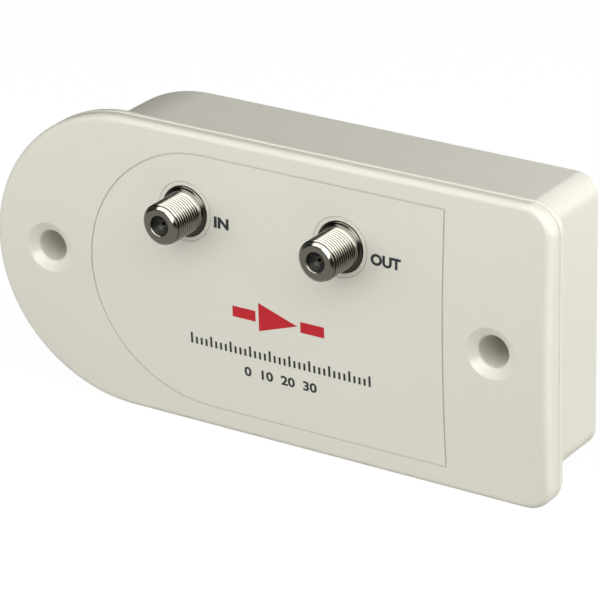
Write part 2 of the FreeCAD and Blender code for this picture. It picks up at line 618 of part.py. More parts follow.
def make_regulator():
    """Voltage regulator standing on the board, its metal tab against the heat sink."""
    x, z = REGULATOR_PLACE
    length, width, height = REGULATOR_SIZE
    body = block(REGULATOR_PLACE, REGULATOR_SIZE)
    z1 = z + width / 2
    top = BOARD_BACK + height + REGULATOR_TAB_RISE
    tab = box(x - length / 2, x + length / 2, BOARD_BACK + height, top, z1 - REGULATOR_TAB, z1)
    hole = rod_z(x, top - REGULATOR_TAB_RISE / 2, REGULATOR_TAB_HOLE, z1 - REGULATOR_TAB, z1)
    return body.fuse(tab.cut(hole)).removeSplitter()


def make_heat_sink():
    """Finned sink that stands on the board behind the regulator's tab."""
    x, z = REGULATOR_PLACE
    z0 = z + REGULATOR_SIZE[1] / 2
    top = BOARD_BACK + REGULATOR_SIZE[2] + REGULATOR_TAB_RISE
    x0, x1 = x - SINK_LENGTH / 2, x + SINK_LENGTH / 2
    sink = box(x0, x1, BOARD_BACK, top, z0, z0 + SINK_BASE)
    pitch = (SINK_LENGTH - SINK_FIN) / (SINK_FINS - 1)
    for i in range(SINK_FINS):
        left = x0 + i * pitch
        sink = sink.fuse(box(left, left + SINK_FIN, BOARD_BACK, top,
                             z0 + SINK_BASE, z0 + SINK_BASE + SINK_FIN_DEPTH))
    return sink.removeSplitter()


def diode_lead_places():
    x, z = DIODE_PLACE
    return [(x - DIODE_LEAD_SPAN / 2, z), (x + DIODE_LEAD_SPAN / 2, z)]


def make_diode():
    """Reverse-polarity diode lying on the board, its leads bent down through it."""
    x, z = DIODE_PLACE
    y = BOARD_BACK + DIODE_RADIUS
    half = DIODE_LEAD_SPAN / 2
    body = rod_x(y, z, DIODE_RADIUS, x - DIODE_LENGTH / 2, x + DIODE_LENGTH / 2)
    body = body.fuse(rod_x(y, z, DIODE_LEAD_RADIUS, x - half, x + half))
    for lead_x, lead_z in diode_lead_places():
        body = body.fuse(rod_y(lead_x, lead_z, DIODE_LEAD_RADIUS, BOARD_FRONT - SOLDER_STUB, y))
        body = body.fuse(Part.makeSphere(DIODE_LEAD_RADIUS, FreeCAD.Vector(lead_x, y, lead_z)))
    return body.removeSplitter()


def make_inlet_body():
    """Moulded power socket on the board, its round nose in the housing's bottom wall."""
    half = INLET_BODY_WIDTH / 2
    start = WALL_BOTTOM + WALL + INLET_WALL_GAP
    nose_end = WALL_BOTTOM + INLET_NOSE_SETBACK
    body = box(INLET_X - half, INLET_X + half, BOARD_BACK, BOARD_BACK + INLET_BODY_HEIGHT,
               start, start + INLET_BODY_LENGTH)
    body = body.fuse(rod_z(INLET_X, INLET_AXIS_Y, INLET_NOSE_RADIUS, nose_end, start))
    body = body.cut(rod_z(INLET_X, INLET_AXIS_Y, INLET_BORE_RADIUS, nose_end, nose_end + INLET_BORE_DEPTH))
    pin_end = start + INLET_BODY_LENGTH
    body = body.cut(rod_z(INLET_X, INLET_AXIS_Y, INLET_PIN_RADIUS, nose_end + INLET_BORE_DEPTH, pin_end))
    return body.cut(make_inlet_spring()).removeSplitter()


def make_inlet_spring():
    """Flat spring contact along the bore's outer side."""
    nose_end = WALL_BOTTOM + INLET_NOSE_SETBACK
    z1 = nose_end + INLET_BORE_DEPTH
    half = INLET_SPRING_WIDTH / 2
    y = INLET_AXIS_Y + INLET_BORE_RADIUS
    return box(INLET_X - half, INLET_X + half, y - INLET_SPRING_THICKNESS, y + INLET_SPRING_THICKNESS,
               z1 - INLET_SPRING_LENGTH, z1)


def make_inlet_pin():
    nose_end = WALL_BOTTOM + INLET_NOSE_SETBACK
    start = nose_end + INLET_PIN_SETBACK
    end = WALL_BOTTOM + WALL + INLET_WALL_GAP + INLET_BODY_LENGTH
    round_z = start + INLET_PIN_RADIUS
    tip = Part.makeSphere(INLET_PIN_RADIUS, FreeCAD.Vector(INLET_X, INLET_AXIS_Y, round_z))
    return rod_z(INLET_X, INLET_AXIS_Y, INLET_PIN_RADIUS, round_z, end).fuse(tip).removeSplitter()


def make_screws(points, radius, head_radius, head, seat, tip):
    return Part.makeCompound([screw(x, z, radius, head_radius, head, seat, tip) for x, z in points])


def make_parts():
    parts = {
        "front_cover": make_front_cover(),
        "face_panel": make_face_panel(),
        "rear_housing": make_rear_housing(),
    }
    for name, x in (("in", -PORT_X), ("out", PORT_X)):
        parts[name + "_port_body"] = make_port_body(x)
        parts[name + "_port_dielectric"] = make_port_dielectric(x)
        parts[name + "_port_contact"] = make_port_contact(x)
    parts["circuit_board"] = make_circuit_board()
    parts["shield_frame"] = make_shield_frame()
    parts["shield_lid"] = make_shield_lid()
    parts["amplifier_chip"] = make_amplifier_chip()
    parts["input_transformer"] = make_ferrite(-FERRITE_X)
    parts["output_transformer"] = make_ferrite(FERRITE_X)
    parts["bias_choke"] = drum(CHOKE_PLACE, CHOKE_RADIUS, CHOKE_WAIST, CHOKE_HEIGHT, CHOKE_FLANGE)
    parts["ceramic_capacitors"] = Part.makeCompound([block(p, CERAMIC_SIZE) for p in CERAMIC_PLACES])
    parts["chip_resistors"] = Part.makeCompound([block(p, RESISTOR_SIZE) for p in RESISTOR_PLACES])
    parts["smoothing_capacitors"] = Part.makeCompound([make_electrolytic(p) for p in ELECTROLYTIC_PLACES])
    parts["voltage_regulator"] = make_regulator()
    parts["heat_sink"] = make_heat_sink()
    parts["protection_diode"] = make_diode()
    parts["power_choke"] = drum(POWER_CHOKE_PLACE, POWER_CHOKE_RADIUS, POWER_CHOKE_WAIST,
                                POWER_CHOKE_HEIGHT, POWER_CHOKE_FLANGE)
    parts["power_inlet_body"] = make_inlet_body()
    parts["power_inlet_pin"] = make_inlet_pin()
    parts["power_inlet_spring"] = make_inlet_spring()
    parts["board_screws"] = make_screws(BOARD_POST_PLACES, BOARD_SCREW_RADIUS, BOARD_SCREW_HEAD_RADIUS,
                                        BOARD_SCREW_HEAD, BOARD_BACK, BOARD_FRONT - BOARD_SCREW_GRIP)
    parts["case_screws"] = make_screws(case_screw_places(), CASE_SCREW_RADIUS, CASE_SCREW_HEAD_RADIUS,
                                       CASE_SCREW_HEAD, CASE_SEAT, CASE_POST_END - CASE_SCREW_GRIP)
    return parts


os.makedirs("parts", exist_ok=True)
for node, shape in make_parts().items():
    shape.exportStep("parts/" + node + ".step")
    print(node, "solids", len(shape.Solids), "valid", shape.isValid(), "volume", round(shape.Volume, 1))
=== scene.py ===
import json
import math
import bmesh
import bpy
from mathutils import Matrix, Vector


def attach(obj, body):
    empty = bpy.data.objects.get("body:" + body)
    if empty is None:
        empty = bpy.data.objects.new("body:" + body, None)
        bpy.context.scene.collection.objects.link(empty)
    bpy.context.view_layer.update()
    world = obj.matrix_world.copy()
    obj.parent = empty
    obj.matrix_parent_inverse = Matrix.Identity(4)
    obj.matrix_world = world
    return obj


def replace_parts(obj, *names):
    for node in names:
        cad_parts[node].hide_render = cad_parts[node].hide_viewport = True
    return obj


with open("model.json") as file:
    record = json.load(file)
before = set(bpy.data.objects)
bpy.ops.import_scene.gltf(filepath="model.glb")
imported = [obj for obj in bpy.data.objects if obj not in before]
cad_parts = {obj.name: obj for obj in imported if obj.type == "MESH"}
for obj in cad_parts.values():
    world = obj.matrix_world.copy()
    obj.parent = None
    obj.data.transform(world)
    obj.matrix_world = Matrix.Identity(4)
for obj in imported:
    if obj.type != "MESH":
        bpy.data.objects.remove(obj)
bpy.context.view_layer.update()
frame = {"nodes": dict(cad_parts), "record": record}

nodes = frame["nodes"]
MM = 0.001

# Sizes shared with the solids, in millimetres
FACE_TOP = -30.55
FACE_MID_Z = -0.42
CROWN_RADIUS = 361.34
PORT_X = 20.0
PORT_HEIGHT = 16.2
PORT_PROJECTION = 9.7
PORT_LIP = 1.2
MOUTH_RADIUS = 2.32
BORE_RADIUS = 3.3
COLLAR_RADIUS = 5.75
COLLAR_STAND = 0.12
THREAD_RADIUS = 4.76
THREAD_PITCH = 25.4 / 32
BOARD_FRONT = -22.0
BOARD_BACK = -20.4

# Fine form of the port shells, in millimetres. The thread's start is in turns, and it is full after so many
# lead-ins.
THREAD_DEPTH = 0.3
THREAD_START_TURN = 0.35
THREAD_LEAD_IN = 0.3
THREAD_FULL_AFTER = 2.2
THREAD_RUN_OUT = 0.25
NOSE_RADIUS = 3.68
NOSE_LENGTH = 1.15
COLLAR_EDGE = 0.15
MOUTH_BEVEL = 0.1
TURNED_EDGE = 0.06
TURNED_EDGE_STEPS = 4
PORT_SEGMENTS = 96
PORT_ROWS = 200
PORT_WELD = 0.002
SEAM_WELD = 0.001
PORT_SHARP_ANGLE = math.radians(38)
# Amount of painted shade on the flare and the collar, standing in for their dark reflection
COLLAR_SHADE = 0.8
COLLAR_MARGIN = 0.01
LEG_SPREAD = 3.5
LEG_STATIONS = ((0.5, BOARD_FRONT - 0.9), (0.5, BOARD_BACK + 0.6), (0.3, BOARD_BACK + 1.0))

# Wire on each core: radius, straight side, pitch, turns and wire radius, lengths in millimetres
WINDINGS = {
    "bias_choke": (2.12, 0.0, 0.5, 6.0, 0.2),
    "power_choke": (3.7, 0.0, 0.66, 6.5, 0.28),
    "input_transformer": (1.6, 6.0, 0.42, 3.0, 0.18),
    "output_transformer": (1.6, 6.0, 0.42, 3.0, 0.18),
}
WIRE_SIDES = 10
WIRE_STEPS_PER_TURN = 32
WIRE_SHARP_ANGLE = math.radians(50)

# Smoothing of the solids' own faces
SOLID_WELD = 0.0015
SOLID_SHARP_ANGLE = math.radians(32)

# Printing on the panel, in the face's x and z millimetres. A text has its left and right end, its base, its
# capital height and its weight.
INK_LIFT = 0.02
LETTER_DEPTH = 0.01
LETTER_STEPS = 6
LABEL_WEIGHT = 0.045
NUMBER_WEIGHT = 0.03
LABELS = {
    "label_in": ("IN", -12.3, -8.45, 14.05, 2.6, LABEL_WEIGHT),
    "label_out": ("OUT", 27.7, 35.2, 13.9, 2.65, LABEL_WEIGHT),
}
SCALE_NUMBERS = ("0  10  20  30", -5.5, 13.3, -19.7, 2.3, NUMBER_WEIGHT)
TICK_COUNT = 37
TICK_LEFT = -19.4
TICK_RIGHT = 27.3
TICK_BASE = -14.8
TICK_WIDTH = 0.55
TICK_TALL = 2.55
TICK_SHORT = 1.7
TICK_EVERY = 4
SYMBOL_BAR_LOW = -5.85
SYMBOL_BAR_HIGH = -3.3
SYMBOL_LEFT_BAR = (-7.9, -1.9)
SYMBOL_RIGHT_BAR = (9.7, 15.8)
SYMBOL_TRIANGLE = [(-1.1, -7.95), (8.9, -4.575), (-1.1, -1.2)]

# Camera, in degrees, pixels and millimetres, with its clipping range in metres
CAMERA_AZIMUTH = 33.58
CAMERA_ELEVATION = 23.60
CAMERA_ROLL = -1.36
CAMERA_DISTANCE = 814.2
CAMERA_TARGET = (6.77, -25.98, -0.52)
FOCAL_PIXELS = 3762.8
FRAME_PIXELS = 600
SENSOR_WIDTH = 36
CLIP_RANGE = (0.01, 20)

# Floor, in millimetres for its height and metres for the rest
FLOOR_HEIGHT = -35.2
FLOOR_HALF = 3.0
FLOOR_GREY = (0.62, 0.62, 0.61, 1)
FLOOR_GLOW = 1.12
FLOOR_GLOW_SHARE = 0.84
FLOOR_MIRROR_TINT = (1, 0.98, 0.94, 1)
FLOOR_LEFT_LEVEL = 0.29
FLOOR_SIDE_LIMITS = (0.06, 0.11)
FLOOR_BEYOND_LIMITS = (-0.2, 0.05)
FLOOR_DEPTH_LIMITS = (0.05, 0.3)

# Levels of the room, where 1 shows a colour as written, and where they change over by direction
AMBIENT_LEVEL = 0.02
ROOM_LEVEL = 0.04
CEILING_LEVEL = 1.6
SOFTBOX_LEVEL = 2.8
FRONT_LIGHT_LEVEL = 5.4
FRONT_LIGHT = (0.19, -0.935, 0.3)
FRONT_LIMITS = (0.92, 0.98)
SIDE_SLOPE = -0.15
SIDE_LIMITS = (-0.62, -0.47)
RISE_SLOPE = 0.5
RISE_LIMITS = (-0.07, 0.15)
OVERHEAD_LIMITS = (0.3, 0.6)

# Lamps: direction from the object, side in metres and level
LAMPS = {
    "left_front_lamp": ((-0.69, -0.69, 0.21), 0.9, 0.49),
    "front_top_lamp": ((0.0, -0.75, 0.66), 0.8, 0.42),
    "front_lamp": (FRONT_LIGHT, 0.25, 0.05),
    "right_top_lamp": ((0.66, -0.24, 0.71), 0.9, 0.54),
    "right_lamp": ((0.98, 0.1, 0.17), 0.4, 0.5),
    "back_lamp": ((0.12, 0.99, -0.1), 0.4, 0.5),
}


def face_y(z):
    """Depth of the crowned face at height z."""
    return FACE_TOP + CROWN_RADIUS - math.sqrt(CROWN_RADIUS ** 2 - (z - FACE_MID_Z) ** 2)


# Node trees

FROM_MIN, FROM_MAX, TO_MIN, TO_MAX = 1, 2, 3, 4

# Sockets of a Mix node by kind of value: factor, first, second and result
MIX_SOCKETS = {"RGBA": (0, 6, 7, 2), "FLOAT": (0, 2, 3, 0)}


class Tree:
    """Builds one node tree: adds nodes, sets their inputs and joins them."""

    def __init__(self, tree):
        self.tree = tree

    def socket(self, name, kind, out=False, value=None):
        side = "OUTPUT" if out else "INPUT"
        item = self.tree.interface.new_socket(name=name, in_out=side, socket_type="NodeSocket" + kind)
        if value is not None:
            item.default_value = value

    def add(self, kind, inputs=None, **settings):
        node = self.tree.nodes.new(kind)
        for key, value in settings.items():
            setattr(node, key, value)
        for key, value in (inputs or {}).items():
            self.join(value, node.inputs[key])
        return node

    def join(self, value, socket):
        if isinstance(value, bpy.types.NodeSocket):
            self.tree.links.new(value, socket)
        else:
            socket.default_value = value

    def math(self, kind, operation, *values):
        node = self.tree.nodes.new(kind)
        node.operation = operation
        for index, value in enumerate(values):
            self.join(value, node.inputs[index])
        return node.outputs[0]

    def calc(self, operation, *values):
        """Result of a Math node."""
        return self.math("ShaderNodeMath", operation, *values)

    def ramp(self, value, limits, start=0.0, end=1.0, smooth=False):
        """Goes from start to end while a value goes from one limit to the other."""
        node = self.add("ShaderNodeMapRange", {"Value": value, FROM_MIN: limits[0], FROM_MAX: limits[1],
                                               TO_MIN: start, TO_MAX: end},
                        interpolation_type="SMOOTHSTEP" if smooth else "LINEAR")
        return node.outputs[0]

    def mix(self, kind, factor, first, second):
        """Blend of two colours or two numbers."""
        factor_at, first_at, second_at, result_at = MIX_SOCKETS[kind]
        node = self.add("ShaderNodeMix", {factor_at: factor, first_at: first, second_at: second}, data_type=kind)
        return node.outputs[result_at]

    def noise(self, vector, scale, detail):
        """Value of a noise texture."""
        return self.add("ShaderNodeTexNoise", {"Vector": vector, "Scale": scale, "Detail": detail}).outputs["Fac"]

    def wander(self, base, spread, *noises):
        """Value that each noise moves about its base by half the spread at most."""
        for noise in noises:
            base = self.calc("ADD", base, self.calc("MULTIPLY", self.calc("SUBTRACT", noise, 0.5), spread))
        return base

    def blend_shaders(self, factor, first, second):
        return self.add("ShaderNodeMixShader", {0: factor, 1: first, 2: second}).outputs[0]


def group_tree(name, kind, inputs, outputs):
    """New node group with named inputs and outputs; returns its builder, input sockets and output node."""
    tree = Tree(bpy.data.node_groups.new(name, kind))
    for key, (socket_kind, value) in inputs.items():
        tree.socket(key, socket_kind, value=value)
    for key, socket_kind in outputs.items():
        tree.socket(key, socket_kind, out=True)
    return tree, tree.add("NodeGroupInput").outputs, tree.add("NodeGroupOutput")


# Shared surface effects

DRIFT_SCALE, DRIFT_DETAIL, DRIFT_AMOUNT = 40.0, 3.0, 0.5
GRAIN_SCALE, GRAIN_DETAIL = 2500.0, 2.0
STAIN_SCALE, STAIN_DETAIL, STAIN_AMOUNT = 120.0, 4.0, 0.4
MARK_SCALE, MARK_DETAIL, MARK_BUMP = 1500.0, 2.0, 0.001
METAL_SPREAD, METAL_SMOOTHEST = 0.1, 0.03


def moulded_group():
    """Moulded material: slow colour drift, fine grain and slightly uneven gloss."""
    tree, get, outs = group_tree("moulded_surface", "ShaderNodeTree", {
        "Vector": ("Vector", None), "Colour": ("Color", (1, 1, 1, 1)), "Drift Colour": ("Color", (1, 1, 1, 1)),
        "Drift Scale": ("Float", DRIFT_SCALE), "Drift Amount": ("Float", DRIFT_AMOUNT),
        "Grain Scale": ("Float", GRAIN_SCALE),
        "Roughness": ("Float", 0.4), "Roughness Spread": ("Float", 0.05),
    }, {"Colour": "Color", "Roughness": "Float", "Height": "Float"})
    drift = tree.noise(get["Vector"], get["Drift Scale"], DRIFT_DETAIL)
    grain = tree.noise(get["Vector"], get["Grain Scale"], GRAIN_DETAIL)
    share = tree.calc("MULTIPLY", drift, get["Drift Amount"])
    tree.join(tree.mix("RGBA", share, get["Colour"], get["Drift Colour"]), outs.inputs["Colour"])
    tree.join(tree.wander(get["Roughness"], get["Roughness Spread"], grain, drift), outs.inputs["Roughness"])
    tree.join(grain, outs.inputs["Height"])
    return tree.tree


def metal_group():
    """Metal: stretched machining or rolling marks, faint stains and uneven polish."""
    tree, get, outs = group_tree("worked_metal", "ShaderNodeTree", {
        "Vector": ("Vector", None), "Colour": ("Color", (1, 1, 1, 1)), "Stain Colour": ("Color", (1, 1, 1, 1)),
        "Stain Scale": ("Float", STAIN_SCALE), "Stain Amount": ("Float", STAIN_AMOUNT),
        "Mark Scale": ("Float", MARK_SCALE), "Mark Stretch": ("Vector", (1.0, 1.0, 1.0)),
        "Roughness": ("Float", 0.2), "Roughness Spread": ("Float", METAL_SPREAD),
    }, {"Colour": "Color", "Roughness": "Float", "Height": "Float"})
    stain = tree.noise(get["Vector"], get["Stain Scale"], STAIN_DETAIL)
    stretched = tree.math("ShaderNodeVectorMath", "MULTIPLY", get["Vector"], get["Mark Stretch"])
    marks = tree.noise(stretched, get["Mark Scale"], MARK_DETAIL)
    share = tree.calc("MULTIPLY", stain, get["Stain Amount"])
    rough = tree.wander(get["Roughness"], get["Roughness Spread"], marks, stain)
    tree.join(tree.mix("RGBA", share, get["Colour"], get["Stain Colour"]), outs.inputs["Colour"])
    tree.join(tree.calc("MAXIMUM", rough, METAL_SMOOTHEST), outs.inputs["Roughness"])
    tree.join(marks, outs.inputs["Height"])
    return tree.tree


GROUPS = {"moulded": moulded_group(), "metal": metal_group()}


# Materials

def colour(red, green, blue):
    """Linear colour from 0 to 255 display values."""
    def linear(value):
        part = value / 255
        return part / 12.92 if part <= 0.04045 else ((part + 0.055) / 1.055) ** 2.4
    return linear(red), linear(green), linear(blue), 1.0


# How strong the painted-shade attribute has to be for the painted shade in the thread's grooves and on the port
# collar to start and to be full, and how much of the colour it covers then
PAINTED_SHADE_LIMITS = (0.4, 0.85)
PAINTED_SHADE_SHARE = 0.88


def finish_material(name, group, values, bump, grooves=None, **shader):
    """Material whose colour, gloss and fine relief come from a shared effect, with a painted shade colour where
    the shade attribute is high.
    """
    material = bpy.data.materials.new(name)
    material.use_nodes = True
    tree = Tree(material.node_tree)
    principled = material.node_tree.nodes["Principled BSDF"]
    for key, value in shader.items():
        principled.inputs[key.replace("_", " ")].default_value = value
    effect = tree.add("ShaderNodeGroup", node_tree=GROUPS[group])
    tree.join(tree.add("ShaderNodeTexCoord").outputs["Object"], effect.inputs["Vector"])
    for key, value in values.items():
        effect.inputs[key].default_value = value
    surface = effect.outputs["Colour"]
    # Painted shade: the thread's grooves and the port collar darken towards the shade colour
    if grooves:
        shade_field = tree.add("ShaderNodeAttribute", attribute_name="groove").outputs["Fac"]
        surface = tree.mix("RGBA", tree.ramp(shade_field, PAINTED_SHADE_LIMITS, 0.0, PAINTED_SHADE_SHARE), surface, grooves)
    tree.join(surface, principled.inputs["Base Color"])
    tree.join(effect.outputs["Roughness"], principled.inputs["Roughness"])
    if bump:
        relief = tree.add("ShaderNodeBump", {"Height": effect.outputs["Height"], "Distance": bump * MM,
                                             "Strength": 1.0})
        tree.join(relief.outputs["Normal"], principled.inputs["Normal"])
    return material


def moulded(name, base, drift, rough, scale=DRIFT_SCALE, grain=GRAIN_SCALE, spread=0.03, bump=0.0007, **shader):
    """Plastic, resin, ceramic or ink. Bump is the grain's height in millimetres."""
    values = {"Colour": colour(*base), "Drift Colour": colour(*drift), "Drift Scale": scale,
              "Drift Amount": DRIFT_AMOUNT, "Grain Scale": grain, "Roughness": rough, "Roughness Spread": spread}
    return finish_material(name, "moulded", values, bump, **shader)


def metal(name, base, stain, rough, stretch=(1, 1, 1), **shader):
    """Metal whose marks run along the axes that stretch makes small."""
    values = {"Colour": colour(*base), "Stain Colour": colour(*stain), "Stain Scale": STAIN_SCALE,
              "Stain Amount": STAIN_AMOUNT, "Mark Scale": MARK_SCALE, "Mark Stretch": stretch, "Roughness": rough,
              "Roughness Spread": METAL_SPREAD}
    return finish_material(name, "metal", values, MARK_BUMP, Metallic=1.0, **shader)


# The housing showed specks in the render at roughness 0.27 and spread 0.03, and shows none at these values. The
# likely cause, not tested, is that the renderer's noise filter takes grain below about 0.274 for a mirror's.
MATERIALS = {
    "housing_plastic": moulded("housing_plastic", (227, 225, 212), (222, 219, 206), 0.295, spread=0.02,
                               Specular_IOR_Level=0.75),
    "panel_plastic": moulded("panel_plastic", (227, 225, 213), (222, 219, 207), 0.3, grain=3500.0, bump=0.002,
                             Specular_IOR_Level=0.75),
    # The nickel's dark second colour is painted shade for the thread's grooves and the collar's dark reflection
    "nickel_plate": metal("nickel_plate", (184, 182, 171), (166, 162, 149), 0.12, grooves=colour(58, 54, 46)),
    "dark_dielectric": moulded("dark_dielectric", (22, 22, 21), (16, 16, 16), 0.4),
    # Tin darkened well below its own brightness: painted shade of the deep bore that the contacts sit in
    "tinned_contact": metal("tinned_contact", (112, 109, 102), (84, 81, 75), 0.34),
    "board_laminate": moulded("board_laminate", (30, 92, 48), (22, 74, 38), 0.28, scale=160.0),
    "tinplate": metal("tinplate", (204, 205, 204), (176, 176, 172), 0.28, stretch=(0.05, 1, 1)),
    "chip_epoxy": moulded("chip_epoxy", (40, 40, 42), (30, 30, 32), 0.5, grain=5000.0),
    "ferrite": moulded("ferrite", (62, 60, 60), (46, 45, 46), 0.6, grain=4000.0, bump=0.01),
    "ceramic": moulded("ceramic", (186, 160, 124), (172, 146, 110), 0.42),
    "capacitor_sleeve": moulded("capacitor_sleeve", (38, 46, 74), (30, 38, 64), 0.25, bump=0.002),
    "bare_aluminium": metal("bare_aluminium", (212, 213, 214), (190, 191, 193), 0.34, stretch=(1, 0.04, 1)),
    "inlet_plastic": moulded("inlet_plastic", (34, 34, 35), (26, 26, 27), 0.32),
    "zinc_screw": metal("zinc_screw", (198, 200, 204), (168, 168, 160), 0.27),
}
DARK_INK = moulded("dark_ink", (44, 49, 51), (38, 43, 46), 0.42, bump=0.0)
RED_INK = moulded("red_ink", (196, 28, 40), (186, 24, 36), 0.42, bump=0.0)
COPPER_WIRE = metal("copper_wire", (186, 108, 66), (150, 84, 50), 0.3)


# Pieces

def placed(name, mesh, material):
    """Object at the origin that rides on the only body."""
    piece = bpy.data.objects.new(name, mesh)
    bpy.context.scene.collection.objects.link(piece)
    mesh.materials.clear()
    mesh.materials.append(material)
    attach(piece, "root")
    return piece


def evaluated_mesh(piece):
    """Plain mesh of a piece with its modifiers applied."""
    graph = bpy.context.evaluated_depsgraph_get()
    return bpy.data.meshes.new_from_object(piece.evaluated_get(graph))


def built(work, name):
    """Mesh from finished edit data, which is then freed."""
    mesh = bpy.data.meshes.new(name)
    work.to_mesh(mesh)
    work.free()
    return mesh


def settled(mesh):
    """Joins loose corners, then shades smooth within an angle, weighted by face size."""
    work = bmesh.new()
    work.from_mesh(mesh)
    bmesh.ops.remove_doubles(work, verts=work.verts, dist=SOLID_WELD * MM)
    work.verts.index_update()
    corners = [tuple(corner.co) for corner in work.verts]
    faces = [[corner.index for corner in face.verts] for face in work.faces]
    work.free()
    joined = bpy.data.meshes.new(mesh.name)
    joined.from_pydata(corners, [], faces)
    joined.shade_smooth()
    joined.set_sharp_from_angle(angle=SOLID_SHARP_ANGLE)
    holder = bpy.data.objects.new("settling", joined)
    bpy.context.scene.collection.objects.link(holder)
    weighted = holder.modifiers.new("weighted", "WEIGHTED_NORMAL")
    weighted.keep_sharp = True
    result = evaluated_mesh(holder)
    bpy.data.objects.remove(holder)
    return result


def dressed(node, name, slot):
    """Merged, smoothly shaded copy that stands for a CAD node."""
    piece = placed(name, settled(nodes[node].data), MATERIALS[slot])
    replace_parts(piece, node)


def quads_between(work, low, high):
    """Band of faces between two rings of equal length."""
    count = len(low)
    return [work.faces.new((low[i], low[(i + 1) % count], high[(i + 1) % count], high[i])) for i in range(count)]


def spun(work, profile, x, z, segments):
    """Surface of revolution of a (radius, y) line about the line along Y at (x, z)."""
    rings = []
    for radius, y in profile:
        rings.append([work.verts.new(((x + radius * math.cos(2 * math.pi * i / segments)) * MM, y * MM,
                                      (z + radius * math.sin(2 * math.pi * i / segments)) * MM))
                      for i in range(segments)])
    for low, high in zip(rings, rings[1:]):
        quads_between(work, low, high)


def rounded(points, radius, steps):
    """Line through points with each inner corner rounded to a radius, or to a little under half its sides."""
    under_half = 2.1
    line = [points[0]]
    for before, corner, after in zip(points, points[1:], points[2:]):
        here = Vector(corner)
        back, ahead = Vector(before) - here, Vector(after) - here
        reach = min(radius, back.length / under_half, ahead.length / under_half)
        start, end = here + back.normalized() * reach, here + ahead.normalized() * reach
        for step in range(steps + 1):
            t = step / steps
            line.append(tuple(start * (1 - t) ** 2 + here * (2 * t * (1 - t)) + end * t ** 2))
    return line + [points[-1]]


# Geometry Nodes

def close_tree(tree, geometry, get, outs):
    """Ends a geometry tree in real faces that carry its material."""
    real = tree.add("GeometryNodeRealizeInstances", {"Geometry": geometry})
    coated = tree.add("GeometryNodeSetMaterial", {"Geometry": real.outputs[0], "Material": get["Material"]})
    tree.join(coated.outputs[0], outs.inputs["Geometry"])
    return tree.tree


def grown(name, tree, values):
    """Plain mesh made by a geometry tree with the given named inputs."""
    holder = bpy.data.objects.new(name, bpy.data.meshes.new(name))
    bpy.context.scene.collection.objects.link(holder)
    modifier = holder.modifiers.new(name, "NODES")
    modifier.node_group = tree
    for item in tree.interface.items_tree:
        if item.in_out == "INPUT" and item.name in values:
            modifier[item.identifier] = values[item.name]
    mesh = evaluated_mesh(holder)
    holder.modifiers.remove(modifier)
    bpy.data.objects.remove(holder)
    return mesh


